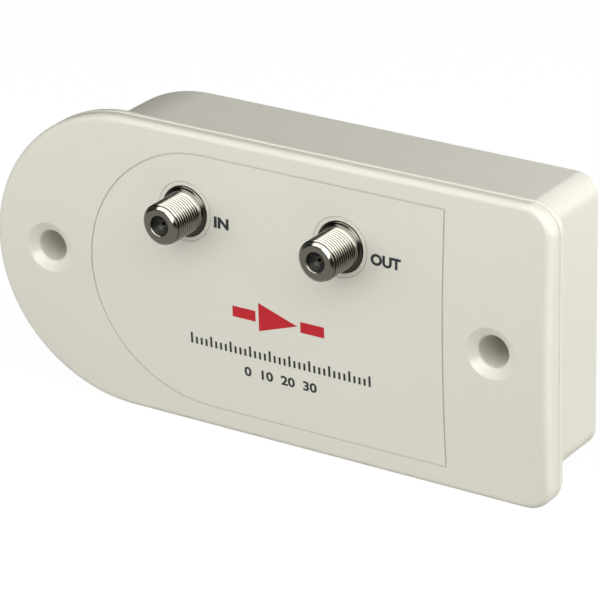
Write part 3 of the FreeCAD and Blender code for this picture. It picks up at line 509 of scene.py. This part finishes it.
def barrel_tree():
    """Threaded barrel with a rounded tip and a flare, wound from a grid."""
    tree, get, outs = group_tree("threaded_barrel", "GeometryNodeTree", {
        "Centre": ("Vector", (0, 0, 0)), "Length": ("Float", 1.0), "Radius": ("Float", 1.0),
        "Nose Radius": ("Float", 0.8), "Nose Length": ("Float", 0.2), "Flare": ("Float", 0.2),
        "Pitch": ("Float", 0.1), "Depth": ("Float", 0.1), "Start Turn": ("Float", 0.0), "Lead In": ("Float", 0.1),
        "Run Out": ("Float", 0.1), "Segments": ("Int", 96), "Rows": ("Int", 190), "Material": ("Material", None),
    }, {"Geometry": "Geometry"})
    calc = tree.calc
    grid = tree.add("GeometryNodeMeshGrid", {"Size X": 1.0, "Size Y": 1.0, "Vertices Y": get["Rows"],
                                             "Vertices X": calc("ADD", get["Segments"], 1.0)})
    spot = tree.add("ShaderNodeSeparateXYZ", {"Vector": tree.add("GeometryNodeInputPosition").outputs[0]})
    turn = calc("ADD", spot.outputs["X"], 0.5)
    along = calc("MULTIPLY", calc("ADD", spot.outputs["Y"], 0.5), get["Length"])

    # Thread: a smooth wave across each turn that fades at both ends
    phase = calc("ADD", calc("ADD", calc("DIVIDE", along, get["Pitch"]), turn), get["Start Turn"])
    off_crest = calc("ABSOLUTE", calc("SUBTRACT", phase, calc("ROUND", phase)))
    wave = tree.ramp(off_crest, (0.0, 0.5), smooth=True)
    lead_in = tree.ramp(along, (get["Lead In"], calc("MULTIPLY", get["Lead In"], THREAD_FULL_AFTER)), smooth=True)
    bend = calc("SUBTRACT", get["Length"], get["Flare"])
    run_out = tree.ramp(along, (calc("SUBTRACT", bend, get["Run Out"]), bend), 1.0, 0.0, smooth=True)
    cut = calc("MULTIPLY", calc("MULTIPLY", wave, calc("MULTIPLY", lead_in, run_out)), get["Depth"])

    # Tip: the radius falls off towards the front as a square
    nose_left = calc("MAXIMUM", calc("SUBTRACT", 1.0, calc("DIVIDE", along, get["Nose Length"])), 0.0)
    nose_full = calc("SUBTRACT", get["Radius"], get["Nose Radius"])
    nose_drop = calc("MULTIPLY", nose_full, calc("POWER", nose_left, 2.0))

    # Flare: a quarter round that meets the collar
    past = calc("MAXIMUM", calc("SUBTRACT", along, bend), 0.0)
    flare_side = calc("SUBTRACT", calc("POWER", get["Flare"], 2.0), calc("POWER", past, 2.0))
    flare_rise = calc("SUBTRACT", get["Flare"], calc("SQRT", calc("MAXIMUM", flare_side, 0.0)))
    flare_share = calc("MINIMUM", calc("DIVIDE", calc("MULTIPLY", past, 2.0), get["Flare"]), 1.0)

    radius = calc("ADD", calc("SUBTRACT", calc("SUBTRACT", get["Radius"], cut), nose_drop), flare_rise)
    angle = calc("MULTIPLY", turn, 2 * math.pi)
    # Painted shade: full in the thread's grooves, and a set share on the flare standing in for its dark reflection
    shade_amount = calc("MAXIMUM", calc("DIVIDE", cut, get["Depth"]), calc("MULTIPLY", flare_share, COLLAR_SHADE))
    shade_field = tree.add("GeometryNodeStoreNamedAttribute", {"Geometry": grid.outputs["Mesh"], "Name": "groove",
                                                        "Value": shade_amount}, data_type="FLOAT", domain="POINT")
    shape = tree.add("ShaderNodeCombineXYZ", {"X": calc("MULTIPLY", radius, calc("COSINE", angle)), "Y": along,
                                              "Z": calc("MULTIPLY", radius, calc("SINE", angle))})
    spread = tree.math("ShaderNodeVectorMath", "ADD", shape.outputs[0], get["Centre"])
    moved = tree.add("GeometryNodeSetPosition", {"Geometry": shade_field.outputs[0], "Position": spread})
    closed = tree.add("GeometryNodeMergeByDistance", {"Geometry": moved.outputs[0], "Distance": SEAM_WELD * MM})
    return close_tree(tree, closed.outputs[0], get, outs)


def coil_tree():
    """Round wire wound about a line along Y, with straight sides along Z if asked."""
    tree, get, outs = group_tree("wire_coil", "GeometryNodeTree", {
        "Centre": ("Vector", (0, 0, 0)), "Radius": ("Float", 0.002), "Straight": ("Float", 0.0),
        "Pitch": ("Float", 0.0005), "Turns": ("Float", 5.0), "Wire": ("Float", 0.0002), "Points": ("Int", 200),
        "Material": ("Material", None),
    }, {"Geometry": "Geometry"})
    calc = tree.calc
    line = tree.add("GeometryNodeMeshLine", {"Count": get["Points"]}, mode="OFFSET")
    number = tree.add("GeometryNodeInputIndex").outputs[0]
    turn = calc("MULTIPLY", calc("DIVIDE", number, calc("SUBTRACT", get["Points"], 1.0)), get["Turns"])
    angle = calc("MULTIPLY", turn, 2 * math.pi)
    rise = calc("SINE", angle)
    stretch = calc("MULTIPLY", calc("SIGN", rise), calc("MULTIPLY", get["Straight"], 0.5))
    along = calc("MULTIPLY", calc("SUBTRACT", turn, calc("MULTIPLY", get["Turns"], 0.5)), get["Pitch"])
    spot = tree.add("ShaderNodeCombineXYZ", {"X": calc("MULTIPLY", get["Radius"], calc("COSINE", angle)),
                                             "Y": along, "Z": calc("MULTIPLY_ADD", get["Radius"], rise, stretch)})
    spread = tree.math("ShaderNodeVectorMath", "ADD", spot.outputs[0], get["Centre"])
    moved = tree.add("GeometryNodeSetPosition", {"Geometry": line.outputs["Mesh"], "Position": spread})
    path = tree.add("GeometryNodeMeshToCurve", {"Mesh": moved.outputs[0]})
    section = tree.add("GeometryNodeCurvePrimitiveCircle", {"Resolution": WIRE_SIDES, "Radius": get["Wire"]})
    wire = tree.add("GeometryNodeCurveToMesh", {"Curve": path.outputs[0], "Fill Caps": True,
                                                "Profile Curve": section.outputs["Curve"]})
    return close_tree(tree, wire.outputs[0], get, outs)


def tick_tree():
    """Row of upright marks on one base line, every so many of them tall."""
    tree, get, outs = group_tree("tick_row", "GeometryNodeTree", {
        "Count": ("Int", 11), "Start": ("Vector", (0, 0, 0)), "Pitch": ("Float", 0.001), "Width": ("Float", 0.001),
        "Tall": ("Float", 0.002), "Short": ("Float", 0.001), "Thickness": ("Float", 0.0001), "Every": ("Int", 5),
        "Material": ("Material", None),
    }, {"Geometry": "Geometry"})
    calc = tree.calc
    step = tree.add("ShaderNodeCombineXYZ", {"X": get["Pitch"]})
    line = tree.add("GeometryNodeMeshLine", {"Count": get["Count"], "Start Location": get["Start"],
                                             "Offset": step.outputs[0]}, mode="OFFSET")
    mark = tree.add("GeometryNodeMeshCube", {"Size": (1, 1, 1)})
    upright = tree.add("GeometryNodeTransform", {"Geometry": mark.outputs["Mesh"], "Translation": (0, 0.5, 0)})
    number = tree.add("GeometryNodeInputIndex").outputs[0]
    tall = calc("LESS_THAN", calc("MODULO", number, get["Every"]), 0.5)
    height = calc("MULTIPLY_ADD", tall, calc("SUBTRACT", get["Tall"], get["Short"]), get["Short"])
    size = tree.add("ShaderNodeCombineXYZ", {"X": get["Width"], "Y": height, "Z": get["Thickness"]})
    row = tree.add("GeometryNodeInstanceOnPoints", {"Points": line.outputs["Mesh"], "Scale": size.outputs[0],
                                                    "Instance": upright.outputs[0]})
    return close_tree(tree, row.outputs[0], get, outs)


# Ports

def port_shell(name, x, tree):
    """Threaded shell of a port with its mouth, bore, collar and four solder legs."""
    tip = face_y(PORT_HEIGHT) - PORT_PROJECTION
    collar_front = face_y(PORT_HEIGHT) - COLLAR_STAND
    flare = COLLAR_RADIUS - COLLAR_EDGE - THREAD_RADIUS
    barrel = grown("barrel", tree, {
        "Centre": (x * MM, tip * MM, PORT_HEIGHT * MM), "Length": (collar_front - tip) * MM,
        "Radius": THREAD_RADIUS * MM, "Nose Radius": NOSE_RADIUS * MM, "Nose Length": NOSE_LENGTH * MM,
        "Flare": flare * MM, "Pitch": THREAD_PITCH * MM, "Depth": THREAD_DEPTH * MM,
        "Start Turn": THREAD_START_TURN, "Lead In": THREAD_LEAD_IN * MM, "Run Out": THREAD_RUN_OUT * MM,
        "Segments": PORT_SEGMENTS, "Rows": PORT_ROWS, "Material": MATERIALS["nickel_plate"]})
    work = bmesh.new()
    work.from_mesh(barrel)
    wound = work.faces.layers.int.new("wound")
    for face in work.faces:
        face[wound] = 1
    turned = [(THREAD_RADIUS + flare, collar_front), (COLLAR_RADIUS, collar_front + COLLAR_EDGE),
              (COLLAR_RADIUS, BOARD_FRONT), (BORE_RADIUS, BOARD_FRONT), (BORE_RADIUS, tip + PORT_LIP),
              (MOUTH_RADIUS, tip + PORT_LIP), (MOUTH_RADIUS, tip + MOUTH_BEVEL), (MOUTH_RADIUS + MOUTH_BEVEL, tip),
              (NOSE_RADIUS, tip)]
    spun(work, rounded(turned, TURNED_EDGE, TURNED_EDGE_STEPS), x, PORT_HEIGHT, PORT_SEGMENTS)
    # Painted shade on the collar for its dark reflection
    paint_collar_shade(work, collar_front)
    bmesh.ops.remove_doubles(work, verts=work.verts, dist=PORT_WELD * MM)
    bmesh.ops.recalc_face_normals(work, faces=work.faces)
    for dx in (-LEG_SPREAD, LEG_SPREAD):
        for dz in (-LEG_SPREAD, LEG_SPREAD):
            solder_leg(work, x + dx, PORT_HEIGHT + dz)
    for face in work.faces:
        face.smooth = True
    for line in work.edges:
        soft = all(face[wound] for face in line.link_faces)
        line.smooth = soft or line.calc_face_angle(0) < PORT_SHARP_ANGLE
    work.faces.layers.int.remove(wound)
    return placed(name, built(work, name), MATERIALS["nickel_plate"])


def paint_collar_shade(work, collar_front):
    """Paints shade on the turned part from the collar backwards, standing in for its dark reflection, in the
    attribute that the thread uses.
    """
    shade_field = work.verts.layers.float["groove"]
    start = (collar_front - COLLAR_MARGIN) * MM
    for corner in work.verts:
        if corner.co.y > start and not corner[shade_field]:
            corner[shade_field] = COLLAR_SHADE


def solder_leg(work, x, z):
    """Square leg through the board with a tapered end."""
    rings = []
    for half, y in LEG_STATIONS:
        rings.append([work.verts.new(((x + sx * half) * MM, y * MM, (z + sz * half) * MM))
                      for sx, sz in ((-1, -1), (1, -1), (1, 1), (-1, 1))])
    faces = [work.faces.new(rings[0]), work.faces.new(rings[-1])]
    for low, high in zip(rings, rings[1:]):
        faces += quads_between(work, low, high)
    bmesh.ops.recalc_face_normals(work, faces=faces)


def make_ports():
    """Shell, dark core and contact of the input and the output port."""
    thread = barrel_tree()
    for side, x in (("in", -PORT_X), ("out", PORT_X)):
        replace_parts(port_shell(side + "_port_shell", x, thread), side + "_port_body")
        dressed(side + "_port_dielectric", side + "_port_core", "dark_dielectric")
        dressed(side + "_port_contact", side + "_port_socket", "tinned_contact")


# Printing on the panel

def on_face(mesh):
    """Bends a flat mesh, drawn in X and Y with its thickness in Z, onto the crowned face."""
    for vertex in mesh.vertices:
        x, height, thick = vertex.co / MM
        raised = INK_LIFT if thick > 0 else -INK_LIFT
        vertex.co = Vector((x, face_y(height) - raised, height)) * MM
    return mesh


def letters(name, text, left, right, base, cap, weight):
    """Words as a solid mesh fitted to a width and a capital height on the face."""
    curve = bpy.data.curves.new(name, "FONT")
    curve.body = text
    curve.size = 1.0
    curve.offset = weight
    curve.extrude = LETTER_DEPTH
    curve.resolution_u = LETTER_STEPS
    holder = bpy.data.objects.new(name, curve)
    bpy.context.scene.collection.objects.link(holder)
    mesh = evaluated_mesh(holder)
    bpy.data.objects.remove(holder)
    xs = [vertex.co.x for vertex in mesh.vertices]
    ys = [vertex.co.y for vertex in mesh.vertices]
    wide = (right - left) / (max(xs) - min(xs))
    tall = cap / (max(ys) - min(ys))
    for vertex in mesh.vertices:
        vertex.co = Vector(((left + (vertex.co.x - min(xs)) * wide) * MM,
                            (base + (vertex.co.y - min(ys)) * tall) * MM, vertex.co.z))
    return on_face(mesh)


def flat_shapes(name, outlines):
    """Solid flat mesh from closed outlines in the face's (x, z) millimetres."""
    work = bmesh.new()
    for outline in outlines:
        low, high = [[work.verts.new((x * MM, z * MM, thick * MM)) for x, z in outline] for thick in (-1, 1)]
        work.faces.new(low)
        work.faces.new(high)
        quads_between(work, low, high)
    bmesh.ops.recalc_face_normals(work, faces=work.faces)
    return on_face(built(work, name))


def bar(left, right):
    """Outline of one of the symbol's two bars."""
    return [(left, SYMBOL_BAR_LOW), (right, SYMBOL_BAR_LOW), (right, SYMBOL_BAR_HIGH), (left, SYMBOL_BAR_HIGH)]


def printed(name, mesh, ink=DARK_INK):
    """Ink on the panel."""
    placed(name, mesh, ink)


def make_scale():
    """Row of ticks, plain numbers below it and a symbol above it."""
    pitch = (TICK_RIGHT - TICK_LEFT - TICK_WIDTH) / (TICK_COUNT - 1)
    ticks = grown("scale_ticks", tick_tree(), {
        "Count": TICK_COUNT, "Start": ((TICK_LEFT + TICK_WIDTH / 2) * MM, TICK_BASE * MM, 0), "Pitch": pitch * MM,
        "Width": TICK_WIDTH * MM, "Tall": TICK_TALL * MM, "Short": TICK_SHORT * MM,
        "Thickness": 2 * INK_LIFT * MM, "Every": TICK_EVERY, "Material": DARK_INK})
    printed("scale_ticks", on_face(ticks))
    printed("scale_numbers", letters("scale_numbers", *SCALE_NUMBERS))
    symbol = [bar(*SYMBOL_LEFT_BAR), SYMBOL_TRIANGLE, bar(*SYMBOL_RIGHT_BAR)]
    printed("amplifier_symbol", flat_shapes("amplifier_symbol", symbol), RED_INK)


# Wire inside the case

def middle(node):
    """Middle of a CAD node's box."""
    corners = [vertex.co for vertex in nodes[node].data.vertices]
    return tuple((min(corner[axis] for corner in corners) + max(corner[axis] for corner in corners)) / 2
                 for axis in range(3))


def make_windings():
    """Copper wire on the chokes and the transformers. The record's slot nearest to it is the contacts'."""
    tree = coil_tree()
    for core, (radius, straight, pitch, turns, wire) in WINDINGS.items():
        winding = grown(core + "_winding", tree, {
            "Centre": middle(core), "Radius": radius * MM, "Straight": straight * MM, "Pitch": pitch * MM,
            "Turns": turns, "Wire": wire * MM, "Points": int(turns * WIRE_STEPS_PER_TURN) + 1,
            "Material": COPPER_WIRE})
        winding.shade_smooth()
        winding.set_sharp_from_angle(angle=WIRE_SHARP_ANGLE)
        placed(core + "_winding", winding, COPPER_WIRE)


# Camera, stage and light

def make_camera():
    azimuth, elevation, roll = (math.radians(angle) for angle in (CAMERA_AZIMUTH, CAMERA_ELEVATION, CAMERA_ROLL))
    back = Vector((math.sin(azimuth) * math.cos(elevation), -math.cos(azimuth) * math.cos(elevation),
                   math.sin(elevation)))
    level = Vector((math.cos(azimuth), math.sin(azimuth), 0))
    rise = back.cross(level)
    right = level * math.cos(roll) + rise * math.sin(roll)
    up = rise * math.cos(roll) - level * math.sin(roll)
    data = bpy.data.cameras.new("camera")
    data.sensor_width = SENSOR_WIDTH
    data.lens = SENSOR_WIDTH * FOCAL_PIXELS / FRAME_PIXELS
    data.clip_start, data.clip_end = CLIP_RANGE
    camera = bpy.data.objects.new("camera", data)
    place = Matrix((right, up, back)).transposed().to_4x4()
    place.translation = (Vector(CAMERA_TARGET) + back * CAMERA_DISTANCE) * MM
    camera.matrix_world = place
    bpy.context.scene.collection.objects.link(camera)
    bpy.context.scene.camera = camera


def seen_directly(tree):
    """Light Path node, and a value of 1 where the camera looks straight or through something clear."""
    path = tree.add("ShaderNodeLightPath")
    return path, tree.calc("MAXIMUM", path.outputs["Is Camera Ray"], path.outputs["Is Transmission Ray"])


def floor_material():
    """White floor that keeps a faint shadow; in polished metal its front part is as dim as the room."""
    material = bpy.data.materials.new("pale_floor")
    material.use_nodes = True
    parts = material.node_tree.nodes
    parts.remove(parts["Principled BSDF"])
    tree = Tree(material.node_tree)
    matte = tree.add("ShaderNodeBsdfDiffuse", {"Color": FLOOR_GREY})
    glow = tree.add("ShaderNodeEmission", {"Color": (1, 1, 1, 1), "Strength": FLOOR_GLOW})
    spot = tree.add("ShaderNodeSeparateXYZ", {"Vector": tree.add("ShaderNodeTexCoord").outputs["Object"]})
    front = tree.ramp(spot.outputs["X"], FLOOR_SIDE_LIMITS, FLOOR_LEFT_LEVEL, ROOM_LEVEL)
    beyond = tree.ramp(spot.outputs["X"], FLOOR_BEYOND_LIMITS, ROOM_LEVEL, 1.0)
    level = tree.ramp(spot.outputs["Y"], FLOOR_DEPTH_LIMITS, front, beyond)
    mirrored = tree.add("ShaderNodeEmission", {"Color": FLOOR_MIRROR_TINT, "Strength": level})
    path, seen = seen_directly(tree)
    direct = tree.blend_shaders(tree.calc("MULTIPLY", seen, FLOOR_GLOW_SHARE), matte.outputs[0], glow.outputs[0])
    shown = tree.blend_shaders(path.outputs["Is Glossy Ray"], direct, mirrored.outputs[0])
    tree.join(shown, parts["Material Output"].inputs["Surface"])
    return material


def make_floor():
    """Large flat floor under the object."""
    half, height = FLOOR_HALF, FLOOR_HEIGHT * MM
    mesh = bpy.data.meshes.new("floor")
    mesh.from_pydata([(-half, -half, height), (half, -half, height), (half, half, height), (-half, half, height)],
                     [], [(0, 1, 2, 3)])
    mesh.materials.append(floor_material())
    piece = bpy.data.objects.new("floor", mesh)
    bpy.context.scene.collection.objects.link(piece)


def make_world():
    """White behind the object; polished metal also sees the dark room in front and to the left."""
    world = bpy.data.worlds.new("studio")
    bpy.context.scene.world = world
    world.use_nodes = True
    tree = Tree(world.node_tree)
    sky = world.node_tree.nodes["Background"]
    sky.inputs["Color"].default_value = (1, 1, 1, 1)
    direction = tree.add("ShaderNodeTexCoord").outputs["Generated"]
    way = tree.add("ShaderNodeSeparateXYZ", {"Vector": direction}).outputs
    side = tree.ramp(tree.calc("MULTIPLY_ADD", way["Y"], SIDE_SLOPE, way["X"]), SIDE_LIMITS, smooth=True)
    above = tree.ramp(tree.calc("MULTIPLY_ADD", way["Y"], RISE_SLOPE, way["Z"]), RISE_LIMITS, smooth=True)
    overhead = tree.ramp(way["Y"], OVERHEAD_LIMITS, SOFTBOX_LEVEL, CEILING_LEVEL, smooth=True)
    lit = tree.calc("MULTIPLY", tree.calc("MULTIPLY", side, above), overhead)
    facing = tree.add("ShaderNodeVectorMath", {0: direction, 1: FRONT_LIGHT}, operation="DOT_PRODUCT")
    front = tree.ramp(facing.outputs["Value"], FRONT_LIMITS, 0.0, FRONT_LIGHT_LEVEL, smooth=True)
    mirrored = tree.calc("MAXIMUM", tree.calc("MAXIMUM", lit, front), ROOM_LEVEL)
    path, seen = seen_directly(tree)
    level = tree.mix("FLOAT", path.outputs["Is Glossy Ray"], AMBIENT_LEVEL, mirrored)
    tree.join(tree.mix("FLOAT", seen, level, 1.0), sky.inputs["Strength"])


def soft_lamp(name, direction, size, level):
    """Square lamp a metre away that lights a surface facing it at a level, where 1 shows a colour as written."""
    data = bpy.data.lights.new(name, "AREA")
    data.shape = "SQUARE"
    data.size = size
    data.energy = level * math.pi ** 2
    lamp = bpy.data.objects.new(name, data)
    toward = Vector(direction).normalized()
    lamp.matrix_world = toward.to_track_quat("Z", "Y").to_matrix().to_4x4()
    lamp.location = toward
    lamp.visible_glossy = False
    bpy.context.scene.collection.objects.link(lamp)


make_camera()
make_floor()
make_world()
for name, (direction, size, level) in LAMPS.items():
    soft_lamp(name, direction, size, level)

dressed("front_cover", "front_cover_moulding", "housing_plastic")
dressed("face_panel", "face_panel_sheet", "panel_plastic")
dressed("rear_housing", "rear_housing_moulding", "housing_plastic")
make_ports()
for node, slot in (("power_inlet_body", "inlet_plastic"), ("power_inlet_pin", "tinned_contact"),
                   ("case_screws", "zinc_screw"), ("board_screws", "zinc_screw"), ("bias_choke", "ferrite"),
                   ("power_choke", "ferrite"), ("smoothing_capacitors", "capacitor_sleeve"),
                   ("input_transformer", "ferrite"), ("output_transformer", "ferrite"),
                   ("protection_diode", "chip_epoxy"), ("voltage_regulator", "chip_epoxy")):
    dressed(node, node + "_finished", slot)

# The solids that stay on show take their slot's material
for entry in frame["record"]["subparts"]:
    for slot in nodes[entry["node"]].material_slots:
        slot.material = MATERIALS[entry["material_slot"]]

for name, label in LABELS.items():
    printed(name, letters(name, *label))
make_windings()
make_scale()

bpy.context.scene.view_settings.view_transform = "Standard"
